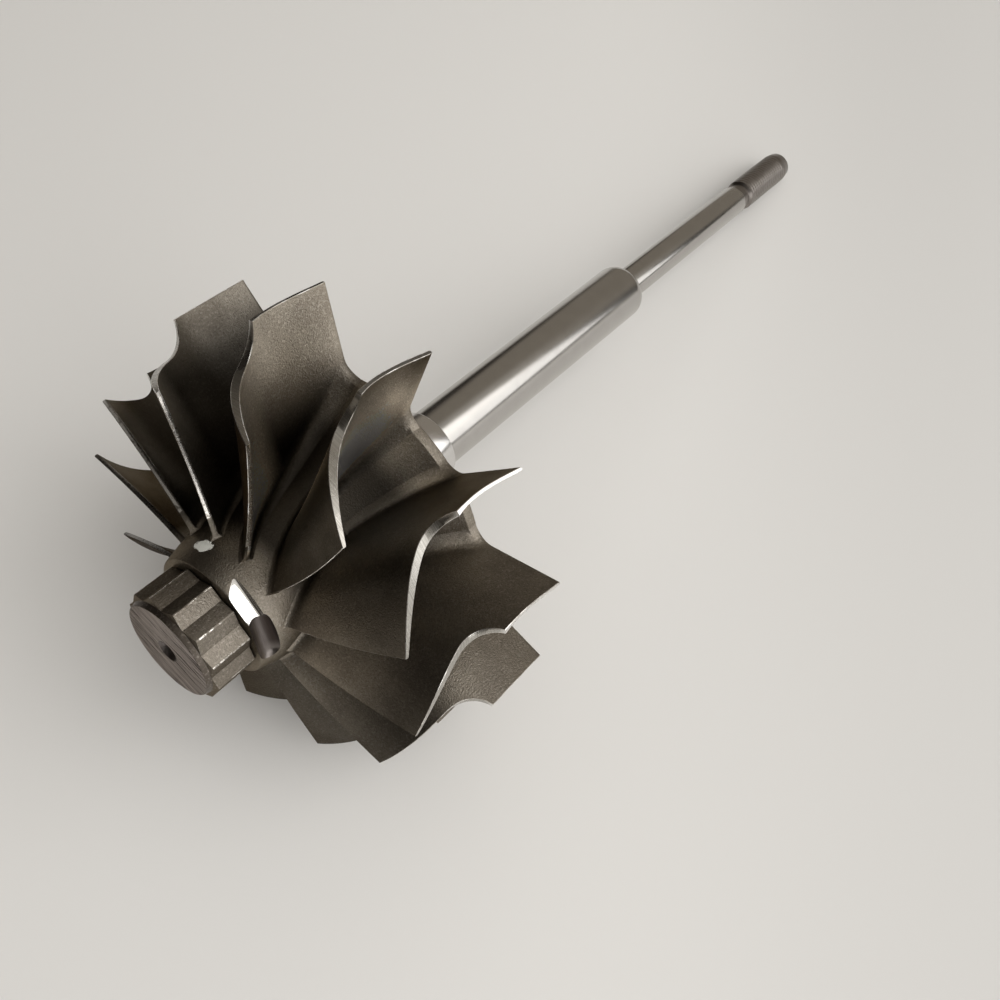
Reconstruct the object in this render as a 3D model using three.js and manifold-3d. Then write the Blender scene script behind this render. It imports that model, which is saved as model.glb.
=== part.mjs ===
// Turbocharger shaft and wheel: a cast turbine wheel with twelve blades and a
// twelve-point nose drive, friction-welded to a stepped steel shaft.
//
// Sizes are in millimetres. The rotor is drawn upright on its own axis, nose face at z = 0 and
// threaded end at the top, then turned to lie as it rests on a table: on the rear corners of
// two neighbouring blades and on the far end of the shaft. +Z is up, the nose points to -X.
import * as THREE from 'three';
import { mergeVertices } from 'three/addons/utils/BufferGeometryUtils.js';
import Module from 'manifold-3d';

const wasm = await Module();
wasm.setup();

// Wheel
const BLADE_COUNT = 12;
const WHEEL_RADIUS = 45.4;
const EXDUCER_RADIUS = 40.2;
const EXDUCER_TIP_Z = 17.75;
const EXDUCER_ROOT_Z = 15.4;
const SHROUD_BEND_Z = 27.9;
const INDUCER_FRONT_Z = 34.2;
const INDUCER_BACK_Z = 49.1;
const BLADE_ROOT_BACK_Z = 49.8;
const DISC_RADIUS = 26.3;
const DISC_FRONT_Z = 48.4;
const DISC_RIM_THICKNESS = 2;
const HUB_START_RADIUS = 13.35;
const HUB_START_Z = 14.6;
const EXIT_TWIST = THREE.MathUtils.degToRad(20.5);
const TWIST_FADE = 6.5;
const COUNTER_SWEEP = THREE.MathUtils.degToRad(3.2);

// Blade thickness, measured square to the blade: thin at both ends, thick along the shroud band
const EDGE_THICKNESS = 0.7;
const BAND_GROWTH = 0.85;
const BAND_SHARE = 0.66;
const ROOT_GROWTH = 0.4;
const FIT_GAP = 0.3;

// Nose drive and collar
const DRIVE_POINTS = 12;
const DRIVE_ACROSS_FLATS = 19;
const DRIVE_LENGTH = 9.2;
const DRIVE_FACE_RADIUS = 9.45;
const DRIVE_LIP_RADIUS = 9.8;
const DRIVE_LIP_LENGTH = 1;
const DRIVE_BEVEL_LENGTH = 0.35;
const DRIVE_TURN = THREE.MathUtils.degToRad(8.3);
const CENTRE_HOLE_RADIUS = 2.1;
const CENTRE_HOLE_DEPTH = 6;
const CENTRE_CONE_DEPTH = 1.4;
const COLLAR_FRONT_RADIUS = 12.1;
const COLLAR_BACK_RADIUS = 13.15;

// Balance cuts in the nose collar: one flat and one round-nosed groove beside it
const FLAT_DIRECTION = THREE.MathUtils.degToRad(-140);
const FLAT_DISTANCE = 11.8;
const FLAT_BACK_Z = 12.5;
const GROOVE_DIRECTION = THREE.MathUtils.degToRad(-107);
const GROOVE_DISTANCE = 13.3;
const GROOVE_MIDDLE_Z = 10.9;
const GROOVE_RADIUS = 2.3;
const GROOVE_LENGTH = 7;

// Back of the wheel and the shaft
const BOSS_RADIUS = 10.4;
const BOSS_BACK_Z = 55.2;
const WELD_RADIUS = 7.5;
const WELD_BACK_Z = 57.2;
const SEAL_RADIUS = 7.4;
const SEAL_GROOVE_Z = 58.2;
const SEAL_GROOVE_WIDTH = 1.5;
const SEAL_GROOVE_RADIUS = 6.1;
const JOURNAL_START_Z = 66.5;
const JOURNAL_RADIUS = 6.35;
const SHOULDER_Z = 136.8;
const SHOULDER_CHAMFER_LENGTH = 2.4;
const SHOULDER_FACE_RADIUS = 5.5;
const UNDERCUT_DEPTH = 0.4;
const STUB_RADIUS = 3.7;
const RELIEF_Z = 190.2;
const RELIEF_LENGTH = 2.7;
const RELIEF_RADIUS = 3.2;
const THREAD_RADIUS = 3.85;
const THREAD_LEAD_LENGTH = 3.4;
const THREAD_TIP_RADIUS = 2.6;
const SHAFT_END_Z = 215.4;

const ROUND_SEGMENTS = 48;
const THIN_SEGMENTS = 32;
const STEP_ANGLE = 2 * Math.PI / BLADE_COUNT;

const CAST_COLOUR = 0x6f675d;
const GROUND_STEEL_COLOUR = 0xa5a29c;

function castAlloy() {
  return new THREE.MeshStandardMaterial({ color: CAST_COLOUR, roughness: 0.55, metalness: 0.9 });
}

function groundSteel() {
  return new THREE.MeshStandardMaterial({ color: GROUND_STEEL_COLOUR, roughness: 0.22, metalness: 1 });
}

// A turned solid about the rotor's axis from [radius, z] points, listed from one end to the other.
function turned(points, segments) {
  const profile = points.map(([radius, z]) => new THREE.Vector2(radius, z));
  const geometry = new THREE.LatheGeometry(profile, segments);
  return geometry.rotateX(Math.PI / 2).scale(1, -1, 1);
}

// A closed shape with its doubled corners joined, flat triangles left out and every face outward.
function facingOut(geometry) {
  geometry.deleteAttribute('normal');
  geometry.deleteAttribute('uv');
  const welded = mergeVertices(geometry, 1e-4);
  const index = welded.getIndex().array;
  const position = welded.getAttribute('position');
  const corner = [new THREE.Vector3(), new THREE.Vector3(), new THREE.Vector3()];
  const kept = [];
  let volume = 0;
  for (let i = 0; i < index.length; i += 3) {
    const face = [index[i], index[i + 1], index[i + 2]];
    if (face[0] === face[1] || face[1] === face[2] || face[2] === face[0]) continue;
    face.forEach((vertex, k) => corner[k].fromBufferAttribute(position, vertex));
    volume += corner[0].dot(corner[1].clone().cross(corner[2]));
    kept.push(face);
  }
  const ordered = volume > 0 ? kept : kept.map(([a, b, c]) => [a, c, b]);
  welded.setIndex(ordered.flat());
  return welded;
}

function toSolid(geometry) {
  const closed = facingOut(geometry);
  return new wasm.Manifold(new wasm.Mesh({
    numProp: 3,
    vertProperties: new Float32Array(closed.getAttribute('position').array),
    triVerts: new Uint32Array(closed.getIndex().array),
  }));
}

function toGeometry(solid) {
  const mesh = solid.getMesh();
  const geometry = new THREE.BufferGeometry();
  geometry.setAttribute('position', new THREE.BufferAttribute(mesh.vertProperties, 3));
  geometry.setIndex(new THREE.BufferAttribute(mesh.triVerts, 1));
  return geometry;
}

function named(name, geometry, material) {
  const mesh = new THREE.Mesh(geometry, material);
  mesh.name = name;
  geometry.computeVertexNormals();
  return mesh;
}

// Radius of the hub's gas face at height z: slow growth off the nose, then a flare to the disc rim.
function hubRadius(z) {
  const along = THREE.MathUtils.clamp((z - HUB_START_Z) / (DISC_FRONT_Z - HUB_START_Z), 0, 1);
  const flare = 0.25 * along + 0.75 * along ** 3;
  return HUB_START_RADIUS + (DISC_RADIUS - HUB_START_RADIUS) * flare;
}

// The blades are straight along each radius, so one angle for each height gives their twist: a
// strong turn at the trailing edge that fades up the wheel, less a slight sweep the other way that
// starts gently and ends at a steady rate.
function bladeAngle(z) {
  const exitTurn = EXIT_TWIST * Math.exp(-(z - EXDUCER_TIP_Z) / TWIST_FADE);
  const along = THREE.MathUtils.clamp((z - EXDUCER_TIP_Z) / (INDUCER_BACK_Z - EXDUCER_TIP_Z), 0, 1);
  const swing = Math.max(Math.sin(Math.PI * along), 0);
  return exitTurn - COUNTER_SWEEP * swing ** (along < 0.5 ? 2 : 1.1);
}

// Outer edge of a blade at share s of its length: exducer band, bend, then the inducer tip.
const INDUCER_SHARE = 0.62;
const BEND_RISE = WHEEL_RADIUS - EXDUCER_RADIUS;
const BEND_RUN = INDUCER_FRONT_Z - SHROUD_BEND_Z;
const BEND_RADIUS = (BEND_RUN ** 2 + BEND_RISE ** 2) / (2 * BEND_RISE);

function outerEdge(s) {
  if (s >= INDUCER_SHARE) {
    const along = (s - INDUCER_SHARE) / (1 - INDUCER_SHARE);
    return [WHEEL_RADIUS, THREE.MathUtils.lerp(INDUCER_FRONT_Z, INDUCER_BACK_Z, along)];
  }
  const bendShare = INDUCER_SHARE * 0.55;
  if (s <= bendShare) {
    return [EXDUCER_RADIUS, THREE.MathUtils.lerp(EXDUCER_TIP_Z, SHROUD_BEND_Z, s / bendShare)];
  }
  const fullTurn = Math.acos(1 - BEND_RISE / BEND_RADIUS);
  const turn = fullTurn * (s - bendShare) / (INDUCER_SHARE - bendShare);
  return [
    EXDUCER_RADIUS + BEND_RADIUS * (1 - Math.cos(turn)),
    SHROUD_BEND_Z + BEND_RADIUS * Math.sin(turn),
  ];
}

function innerEdge(s) {
  const z = THREE.MathUtils.lerp(EXDUCER_ROOT_Z, BLADE_ROOT_BACK_Z, s);
  return [hubRadius(z) + FIT_GAP, z];
}

// Angle from the blade's middle surface to its face, at one radius and height.
function halfWidthAngle(radius, z, s, t) {
  const band = Math.max(Math.sin(Math.PI * Math.min(s / BAND_SHARE, 1)), 0) ** 0.8;
  const root = ROOT_GROWTH * (1 + Math.sin(Math.PI * s)) * (1 - Math.sqrt(t));
  const thickness = EDGE_THICKNESS + BAND_GROWTH * band + root;
  const step = 0.2;
  const twist = (bladeAngle(z + step) - bladeAngle(z - step)) / (2 * step);
  const slant = Math.min(Math.hypot(1, radius * twist), 2.2);
  return thickness * slant / 2 / radius;
}

// One blade: a grid from leading edge to trailing edge and from root to tip, on both faces.
const RIM_SHARE = (DISC_FRONT_Z - EXDUCER_ROOT_Z) / (BLADE_ROOT_BACK_Z - EXDUCER_ROOT_Z);
const ALONG_STEPS = [0, 0.06, 0.13, 0.21, 0.3, 0.341, 0.43, 0.52, INDUCER_SHARE, 0.74, 0.87, RIM_SHARE, 1];
const ACROSS_STEPS = [0, 0.12, 0.3, 0.5, 0.75, 1];

function bladeGeometry() {
  const vertices = [];
  const index = [];
  const rows = ALONG_STEPS.length;
  const columns = ACROSS_STEPS.length;
  for (const side of [-1, 1]) {
    for (const s of ALONG_STEPS) {
      const [outerRadius, outerZ] = outerEdge(s);
      const [innerRadius, innerZ] = innerEdge(s);
      for (const t of ACROSS_STEPS) {
        const radius = THREE.MathUtils.lerp(innerRadius, outerRadius, t);
        const z = THREE.MathUtils.lerp(innerZ, outerZ, t);
        const angle = bladeAngle(z) + side * halfWidthAngle(radius, z, s, t);
        vertices.push(radius * Math.cos(angle), radius * Math.sin(angle), z);
      }
    }
  }
  const at = (side, row, column) => (side * rows + row) * columns + column;
  const quad = (a, b, c, d) => index.push(a, b, c, a, c, d);
  for (let row = 0; row < rows - 1; row += 1) {
    for (let column = 0; column < columns - 1; column += 1) {
      quad(at(0, row, column), at(0, row + 1, column), at(0, row + 1, column + 1), at(0, row, column + 1));
      quad(at(1, row, column), at(1, row, column + 1), at(1, row + 1, column + 1), at(1, row + 1, column));
    }
    for (const [column, first, second] of [[0, 1, 0], [columns - 1, 0, 1]]) {
      quad(at(first, row, column), at(first, row + 1, column), at(second, row + 1, column), at(second, row, column));
    }
  }
  for (let column = 0; column < columns - 1; column += 1) {
    for (const [row, first, second] of [[0, 0, 1], [rows - 1, 1, 0]]) {
      quad(at(first, row, column), at(first, row, column + 1), at(second, row, column + 1), at(second, row, column));
    }
  }
  const geometry = new THREE.BufferGeometry();
  geometry.setAttribute('position', new THREE.Float32BufferAttribute(vertices, 3));
  geometry.setIndex(index);
  return facingOut(geometry);
}

// Cast hub with the small disc behind the blades and the boss that the shaft is welded to.
function hubGeometry() {
  const start = HUB_START_Z + FIT_GAP;
  const gasFace = [];
  const steps = 12;
  for (let i = 0; i <= steps; i += 1) {
    const z = THREE.MathUtils.lerp(start, DISC_FRONT_Z, i / steps);
    gasFace.push([hubRadius(z), z]);
  }
  const rimBackZ = DISC_FRONT_Z + DISC_RIM_THICKNESS;
  return facingOut(turned([
    [0, start],
    ...gasFace,
    [DISC_RADIUS, rimBackZ],
    [DISC_RADIUS - 1.2, rimBackZ + 0.5],
    [BOSS_RADIUS + 2.2, BOSS_BACK_Z - 2.4],
    [BOSS_RADIUS, BOSS_BACK_Z - 1],
    [BOSS_RADIUS - 0.5, BOSS_BACK_Z],
    [0, BOSS_BACK_Z],
  ], ROUND_SEGMENTS));
}

// Nose drive: a star of two hexagons, chamfered to a round face, with a centre-drilled hole.
function driveGeometry() {
  const cornerRadius = DRIVE_ACROSS_FLATS / 2 / Math.cos(Math.PI / 6);
  const notchRadius = cornerRadius * Math.cos(Math.PI / 6) / Math.cos(Math.PI / DRIVE_POINTS);
  const star = new THREE.Shape();
  for (let i = 0; i < 2 * DRIVE_POINTS; i += 1) {
    const angle = DRIVE_TURN + i * Math.PI / DRIVE_POINTS;
    const radius = i % 2 === 0 ? cornerRadius : notchRadius;
    star[i === 0 ? 'moveTo' : 'lineTo'](radius * Math.cos(angle), radius * Math.sin(angle));
  }
  star.closePath();
  const prism = new THREE.ExtrudeGeometry(star, { depth: DRIVE_LENGTH, bevelEnabled: false });
  const blank = turned([
    [0, 0],
    [DRIVE_FACE_RADIUS, 0],
    [DRIVE_LIP_RADIUS, DRIVE_LIP_LENGTH],
    [cornerRadius, DRIVE_LIP_LENGTH + DRIVE_BEVEL_LENGTH],
    [cornerRadius + 1, DRIVE_LIP_LENGTH + 1],
    [cornerRadius + 1, DRIVE_LENGTH + 1],
    [0, DRIVE_LENGTH + 1],
  ], ROUND_SEGMENTS);
  const centre = turned([
    [0, -1],
    [CENTRE_HOLE_RADIUS + 0.6, -1],
    [CENTRE_HOLE_RADIUS, 0.25],
    [CENTRE_HOLE_RADIUS - 0.9, CENTRE_CONE_DEPTH],
    [CENTRE_HOLE_RADIUS - 0.9, CENTRE_HOLE_DEPTH - 0.7],
    [0, CENTRE_HOLE_DEPTH],
  ], 24);
  return toGeometry(toSolid(prism).intersect(toSolid(blank)).subtract(toSolid(centre)));
}

// A cutter that lies square to one direction around the rotor, its near side at a set distance.
function placeCutter(geometry, direction, distance, z) {
  return geometry.rotateZ(direction).translate(
    distance * Math.cos(direction), distance * Math.sin(direction), z);
}

function collarGeometry() {
  const front = DRIVE_LENGTH + FIT_GAP;
  const back = HUB_START_Z;
  const blank = turned([
    [0, front],
    [COLLAR_FRONT_RADIUS - 0.25, front],
    [COLLAR_FRONT_RADIUS, front + 0.25],
    [COLLAR_BACK_RADIUS, back - 1.2],
    [HUB_START_RADIUS, back],
    [0, back],
  ], ROUND_SEGMENTS);
  const flatSize = 24;
  const flatBlock = new THREE.BoxGeometry(flatSize, flatSize, flatSize);
  flatBlock.translate(flatSize / 2, 0, -flatSize / 2);
  const flat = placeCutter(flatBlock, FLAT_DIRECTION, FLAT_DISTANCE, FLAT_BACK_Z);
  const roundNose = new THREE.CapsuleGeometry(GROOVE_RADIUS, GROOVE_LENGTH, 5, 16);
  const groove = placeCutter(roundNose, GROOVE_DIRECTION, GROOVE_DISTANCE, GROOVE_MIDDLE_Z);
  return toGeometry(toSolid(blank).subtract(toSolid(flat)).subtract(toSolid(groove)));
}

function weldGeometry() {
  const start = BOSS_BACK_Z + FIT_GAP;
  return facingOut(turned([
    [0, start],
    [WELD_RADIUS, start],
    [WELD_RADIUS + 0.45, start + 0.45],
    [WELD_RADIUS + 0.45, WELD_BACK_Z - 0.45],
    [WELD_RADIUS, WELD_BACK_Z],
    [0, WELD_BACK_Z],
  ], ROUND_SEGMENTS));
}

function sealGeometry() {
  const start = WELD_BACK_Z + FIT_GAP;
  const end = JOURNAL_START_Z - FIT_GAP;
  return facingOut(turned([
    [0, start],
    [SEAL_RADIUS, start],
    [SEAL_RADIUS, SEAL_GROOVE_Z],
    [SEAL_GROOVE_RADIUS, SEAL_GROOVE_Z],
    [SEAL_GROOVE_RADIUS, SEAL_GROOVE_Z + SEAL_GROOVE_WIDTH],
    [SEAL_RADIUS, SEAL_GROOVE_Z + SEAL_GROOVE_WIDTH],
    [SEAL_RADIUS, end - 0.4],
    [SEAL_RADIUS - 0.4, end],
    [0, end],
  ], ROUND_SEGMENTS));
}

// Bearing journal. Its shoulder is rounded, with a narrow undercut round the foot of the stub.
function journalGeometry() {
  const round = [];
  const steps = 3;
  for (let i = 0; i <= steps; i += 1) {
    const turn = (i / steps) * Math.PI / 3;
    const drop = (JOURNAL_RADIUS - SHOULDER_FACE_RADIUS) * (1 - Math.cos(turn)) * 2;
    const run = SHOULDER_CHAMFER_LENGTH * Math.sin(turn) / Math.sin(Math.PI / 3);
    round.push([JOURNAL_RADIUS - drop, SHOULDER_Z - SHOULDER_CHAMFER_LENGTH + run]);
  }
  return facingOut(turned([
    [0, JOURNAL_START_Z],
    [JOURNAL_RADIUS, JOURNAL_START_Z],
    ...round,
    [STUB_RADIUS + FIT_GAP, SHOULDER_Z],
    [STUB_RADIUS + FIT_GAP, SHOULDER_Z - UNDERCUT_DEPTH],
    [0, SHOULDER_Z - UNDERCUT_DEPTH],
  ], ROUND_SEGMENTS));
}

function stubGeometry() {
  return facingOut(turned([
    [0, SHOULDER_Z - UNDERCUT_DEPTH + FIT_GAP],
    [STUB_RADIUS, SHOULDER_Z - UNDERCUT_DEPTH + FIT_GAP],
    [STUB_RADIUS, RELIEF_Z - 0.3],
    [STUB_RADIUS - 0.3, RELIEF_Z],
    [0, RELIEF_Z],
  ], THIN_SEGMENTS));
}

function reliefGeometry() {
  return facingOut(turned([
    [0, RELIEF_Z + FIT_GAP],
    [RELIEF_RADIUS, RELIEF_Z + FIT_GAP],
    [RELIEF_RADIUS, RELIEF_Z + RELIEF_LENGTH - FIT_GAP],
    [0, RELIEF_Z + RELIEF_LENGTH - FIT_GAP],
  ], THIN_SEGMENTS));
}

function threadGeometry() {
  const start = RELIEF_Z + RELIEF_LENGTH;
  return facingOut(turned([
    [0, start],
    [RELIEF_RADIUS, start],
    [THREAD_RADIUS, start + 0.6],
    [THREAD_RADIUS, SHAFT_END_Z - THREAD_LEAD_LENGTH],
    [THREAD_RADIUS - 0.35, SHAFT_END_Z - THREAD_LEAD_LENGTH / 3],
    [THREAD_TIP_RADIUS, SHAFT_END_Z],
    [0, SHAFT_END_Z],
  ], THIN_SEGMENTS));
}

const rotor = new THREE.Group();
rotor.add(named('drive_boss', driveGeometry(), castAlloy()));
rotor.add(named('nose_collar', collarGeometry(), castAlloy()));
rotor.add(named('wheel_hub', hubGeometry(), castAlloy()));
rotor.add(named('weld_land', weldGeometry(), groundSteel()));
rotor.add(named('seal_collar', sealGeometry(), groundSteel()));
rotor.add(named('bearing_journal', journalGeometry(), groundSteel()));
rotor.add(named('compressor_stub', stubGeometry(), groundSteel()));
rotor.add(named('thread_relief', reliefGeometry(), groundSteel()));
rotor.add(named('threaded_end', threadGeometry(), groundSteel()));

for (let i = 0; i < BLADE_COUNT; i += 1) {
  const blade = named(`blade_${String(i + 1).padStart(2, '0')}`, bladeGeometry(), castAlloy());
  blade.rotation.z = (i + 0.5) * STEP_ANGLE;
  rotor.add(blade);
}

// Resting pose. Blades 1 and 12 stand half a step either side of straight down, and the line
// from their rear corners to the rim of the shaft's end gives the lean.
const restReach = WHEEL_RADIUS * Math.cos(STEP_ANGLE / 2);
const LEAN = Math.atan2(restReach - THREAD_RADIUS, SHAFT_END_Z - THREAD_LEAD_LENGTH - INDUCER_BACK_Z);
rotor.rotation.set(0, Math.PI / 2 + LEAN, 0);

const part = new THREE.Group();
part.add(rotor);
part.updateMatrixWorld(true);
const box = new THREE.Box3().setFromObject(part, true);
const centre = box.getCenter(new THREE.Vector3());
rotor.position.set(-centre.x, -centre.y, -box.min.z);
part.updateMatrixWorld(true);

export default part;
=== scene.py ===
import math

import bmesh
import bpy
from mathutils import Matrix, Vector


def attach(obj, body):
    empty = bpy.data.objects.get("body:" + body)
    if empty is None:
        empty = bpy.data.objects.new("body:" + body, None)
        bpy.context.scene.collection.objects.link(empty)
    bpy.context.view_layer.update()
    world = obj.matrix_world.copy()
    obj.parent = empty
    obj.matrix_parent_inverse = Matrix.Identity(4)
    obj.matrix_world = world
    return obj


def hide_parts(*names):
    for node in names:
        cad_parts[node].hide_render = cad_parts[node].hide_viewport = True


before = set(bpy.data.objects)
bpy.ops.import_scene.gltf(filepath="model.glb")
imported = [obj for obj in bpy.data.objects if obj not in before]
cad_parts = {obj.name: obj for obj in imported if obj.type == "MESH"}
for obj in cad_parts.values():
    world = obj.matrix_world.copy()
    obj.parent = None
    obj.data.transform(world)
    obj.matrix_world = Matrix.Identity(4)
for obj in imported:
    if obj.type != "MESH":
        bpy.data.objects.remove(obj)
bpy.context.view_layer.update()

# Wheel, in millimetres
BLADE_COUNT = 12
WHEEL_RADIUS = 45.4
LAND_REACH = 45.38
EXDUCER_RADIUS = 40.2
EXDUCER_TIP_Z = 17.75
EXDUCER_ROOT_Z = 15.4
SHROUD_BEND_Z = 27.9
INDUCER_FRONT_Z = 34.2
INDUCER_BACK_Z = 49.1
BLADE_ROOT_BACK_Z = 49.8
DISC_RADIUS = 26.3
DISC_FRONT_Z = 48.4
DISC_BACK_Z = 50.4
HUB_START_RADIUS = 13.35
HUB_START_Z = 14.6
HUB_EVEN_RISE = 0.25
HUB_LATE_RISE = 0.75
COLLAR_FRONT_RADIUS = 12.1
COLLAR_BACK_RADIUS = 13.15
COLLAR_FRONT_Z = 9.5
COLLAR_BACK_Z = 13.4
EXIT_TWIST = math.radians(20.5)
TWIST_FADE = 6.5
TWIST_STEP = 0.1
COUNTER_SWEEP = math.radians(3.2)
SWEEP_FRONT_POWER = 2
SWEEP_BACK_POWER = 1.1

# Blade section, in millimetres square to the blade, and the fillet at its root
EDGE_THICKNESS = 0.7
BAND_GROWTH = 0.85
BAND_SHARE = 0.66
BAND_FULLNESS = 0.8
ROOT_GROWTH = 0.4
TRAILING_BEVEL = 0.1
TRAILING_TILT = math.radians(20)
TRAILING_SHARE = 0.018
TRAILING_UPRIGHT_SHARE = 0.25
LAND_BEVEL = 0.09
BACK_BEVEL = 0.12
BACK_SHARES = [0.98, 0.993, 1.0]
FRONT_FILLET = 1.1
BACK_FILLET = 3.8
FILLET_POWER = 1.5
FILLET_LEAN = 0.6
WEB_STEP = 0.1
ROOT_SINK = 0.35
FOOT_SINK = 0.12

# Nose drive and the two balance cuts in the collar behind it
DRIVE_CORNERS = 12
DRIVE_ACROSS_FLATS = 19.0
DRIVE_LENGTH = 9.25
DRIVE_NECK_RADIUS = 9.3
DRIVE_FACE_RADIUS = 9.45
DRIVE_LIP_RADIUS = 9.8
DRIVE_LIP_Z = 1.0
DRIVE_BEVEL = 0.35
CORNER_ROUND = 0.2
DRIVE_TURN = math.radians(8.3)
CENTRE_HOLE_RADIUS = 2.1
CENTRE_HOLE_DEPTH = 6.0
CENTRE_DRILL_STEP = 0.9
FLAT_DIRECTION = math.radians(-140)
FLAT_DISTANCE = 11.8
FLAT_BACK_Z = 12.5
FLAT_WALL_ROUND = 0.7
GROOVE_DIRECTION = math.radians(-107)
GROOVE_DISTANCE = 13.3
GROOVE_MIDDLE_Z = 10.9
GROOVE_RADIUS = 2.3
GROOVE_LENGTH = 7.0

# Back of the wheel and the shaft
BOSS_RADIUS = 10.4
BOSS_BACK_Z = 55.2
WELD_RADIUS = 7.5
WELD_BACK_Z = 57.2
WELD_BEAD_HEIGHT = 0.45
WELD_BEAD_SLOPE = 0.6
WELD_BEAD_ROUND = 0.4
SEAL_RADIUS = 7.4
SEAL_GROOVE_Z = 58.2
SEAL_GROOVE_WIDTH = 1.5
SEAL_GROOVE_RADIUS = 6.1
SEAL_BACK_ROUND = 0.25
JOURNAL_START_Z = 66.5
JOURNAL_RADIUS = 6.35
JOURNAL_NECK_STEP = 0.12
SHOULDER_Z = 136.8
SHOULDER_ROUND = 2.4
SHOULDER_FACE_RADIUS = 5.5
SHOULDER_ARC = math.pi / 3
STUB_RADIUS = 3.7
STUB_CLEARANCE = 0.3
STUB_SINK = 0.4
RELIEF_Z = 190.2
RELIEF_BACK_Z = 192.9
RELIEF_RADIUS = 3.2
THREAD_RADIUS = 3.85
THREAD_PITCH = 1.06
THREAD_DEPTH = 0.1
THREAD_ROUND = 0.1
THREAD_CREST_SHARE = 0.35
THREAD_ROOT_SHARE = 0.68
THREAD_LEAD = 3.4
THREAD_TIP_RADIUS = 2.6
SHAFT_END_Z = 215.4

# Where the nose's centre lies in the frame, in metres, and how far the axis turns from upright
NOSE_PLACE = (-0.103776, 0, 0.054498)
STEP_ANGLE = math.tau / BLADE_COUNT
REST_REACH = WHEEL_RADIUS * math.cos(STEP_ANGLE / 2)
LEAN = math.atan2(REST_REACH - THREAD_RADIUS, SHAFT_END_Z - THREAD_LEAD - INDUCER_BACK_Z)
AXIS_TURN = math.pi / 2 + LEAN
MILLIMETRE = 0.001


def lerp(a, b, share):
    return a + (b - a) * share


def clamp(value, low=0.0, high=1.0):
    return max(low, min(high, value))


# Shapes of the wheel

def hub_radius(z):
    """Radius of the hub's gas face at height z, and of the collar in front of it."""
    if z < HUB_START_Z:
        share = clamp((z - COLLAR_BACK_Z) / (HUB_START_Z - COLLAR_BACK_Z))
        return lerp(COLLAR_BACK_RADIUS, HUB_START_RADIUS, share)
    along = clamp((z - HUB_START_Z) / (DISC_FRONT_Z - HUB_START_Z))
    return lerp(HUB_START_RADIUS, DISC_RADIUS, HUB_EVEN_RISE * along + HUB_LATE_RISE * along ** 3)


def blade_angle(z):
    """Turn of a blade's middle surface at height z: the twist at the exit, less a slight sweep."""
    along = clamp((z - EXDUCER_TIP_Z) / (INDUCER_BACK_Z - EXDUCER_TIP_Z))
    exit_turn = EXIT_TWIST * math.exp(-(z - EXDUCER_TIP_Z) / TWIST_FADE)
    swing = max(math.sin(math.pi * along), 0)
    return exit_turn - COUNTER_SWEEP * swing ** (SWEEP_FRONT_POWER if along < 0.5 else SWEEP_BACK_POWER)


def blade_twist(z):
    """How fast a blade turns at height z, in radians for each millimetre."""
    return (blade_angle(z + TWIST_STEP) - blade_angle(z - TWIST_STEP)) / (2 * TWIST_STEP)


# The outer edge runs straight, bends outwards on an arc, and then follows the wheel's rim
INDUCER_SHARE = 0.62
BEND_SHARE = 0.341
BEND_RISE = WHEEL_RADIUS - EXDUCER_RADIUS
BEND_RUN = INDUCER_FRONT_Z - SHROUD_BEND_Z
BEND_RADIUS = (BEND_RUN ** 2 + BEND_RISE ** 2) / (2 * BEND_RISE)
RIM_SHARE = (DISC_FRONT_Z - EXDUCER_ROOT_Z) / (BLADE_ROOT_BACK_Z - EXDUCER_ROOT_Z)


def outer_edge(share):
    """Radius and height of the blade's outer edge at a share of its length."""
    if share >= INDUCER_SHARE:
        along = (share - INDUCER_SHARE) / (1 - INDUCER_SHARE)
        return LAND_REACH, lerp(INDUCER_FRONT_Z, INDUCER_BACK_Z, along)
    if share <= BEND_SHARE:
        return EXDUCER_RADIUS, lerp(EXDUCER_TIP_Z, SHROUD_BEND_Z, share / BEND_SHARE)
    turn = math.acos(1 - BEND_RISE / BEND_RADIUS)
    turn *= (share - BEND_SHARE) / (INDUCER_SHARE - BEND_SHARE)
    radius = EXDUCER_RADIUS + BEND_RADIUS * (1 - math.cos(turn))
    return radius, SHROUD_BEND_Z + BEND_RADIUS * math.sin(turn)


def inner_edge(share):
    """Radius and height of the blade's foot on the hub at a share of its length."""
    z = lerp(EXDUCER_ROOT_Z, BLADE_ROOT_BACK_Z, share)
    return hub_radius(z), z


def blade_half(share, across):
    """Half the blade's thickness at a share of its length and of the way out from the hub."""
    band = max(math.sin(math.pi * min(share / BAND_SHARE, 1)), 0) ** BAND_FULLNESS
    root = ROOT_GROWTH * (1 + math.sin(math.pi * share)) * (1 - math.sqrt(across))
    return (EDGE_THICKNESS + BAND_GROWTH * band + root) / 2


def fillet_growth(fillet, distance):
    """How far a fillet stands out from a wall at a distance from the surface it meets."""
    short = fillet - clamp(distance, 0, fillet)
    return fillet - math.sqrt(fillet ** 2 - short ** 2)


# Modelling helpers

SEAM_WIDTH = 0.002


def deselect_all():
    if bpy.context.object and bpy.context.object.mode != "OBJECT":
        bpy.ops.object.mode_set(mode="OBJECT")
    bpy.ops.object.select_all(action="DESELECT")


def only(piece):
    """Selects one piece and makes it the active one."""
    deselect_all()
    piece.select_set(True)
    bpy.context.view_layer.objects.active = piece


def edit(piece, select="VERT"):
    only(piece)
    bpy.ops.object.mode_set(mode="EDIT")
    bpy.ops.mesh.select_mode(type=select)


def started(name):
    """The primitive just added, under its own name."""
    piece = bpy.context.object
    piece.name = name
    piece.data.name = name
    return piece


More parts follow.
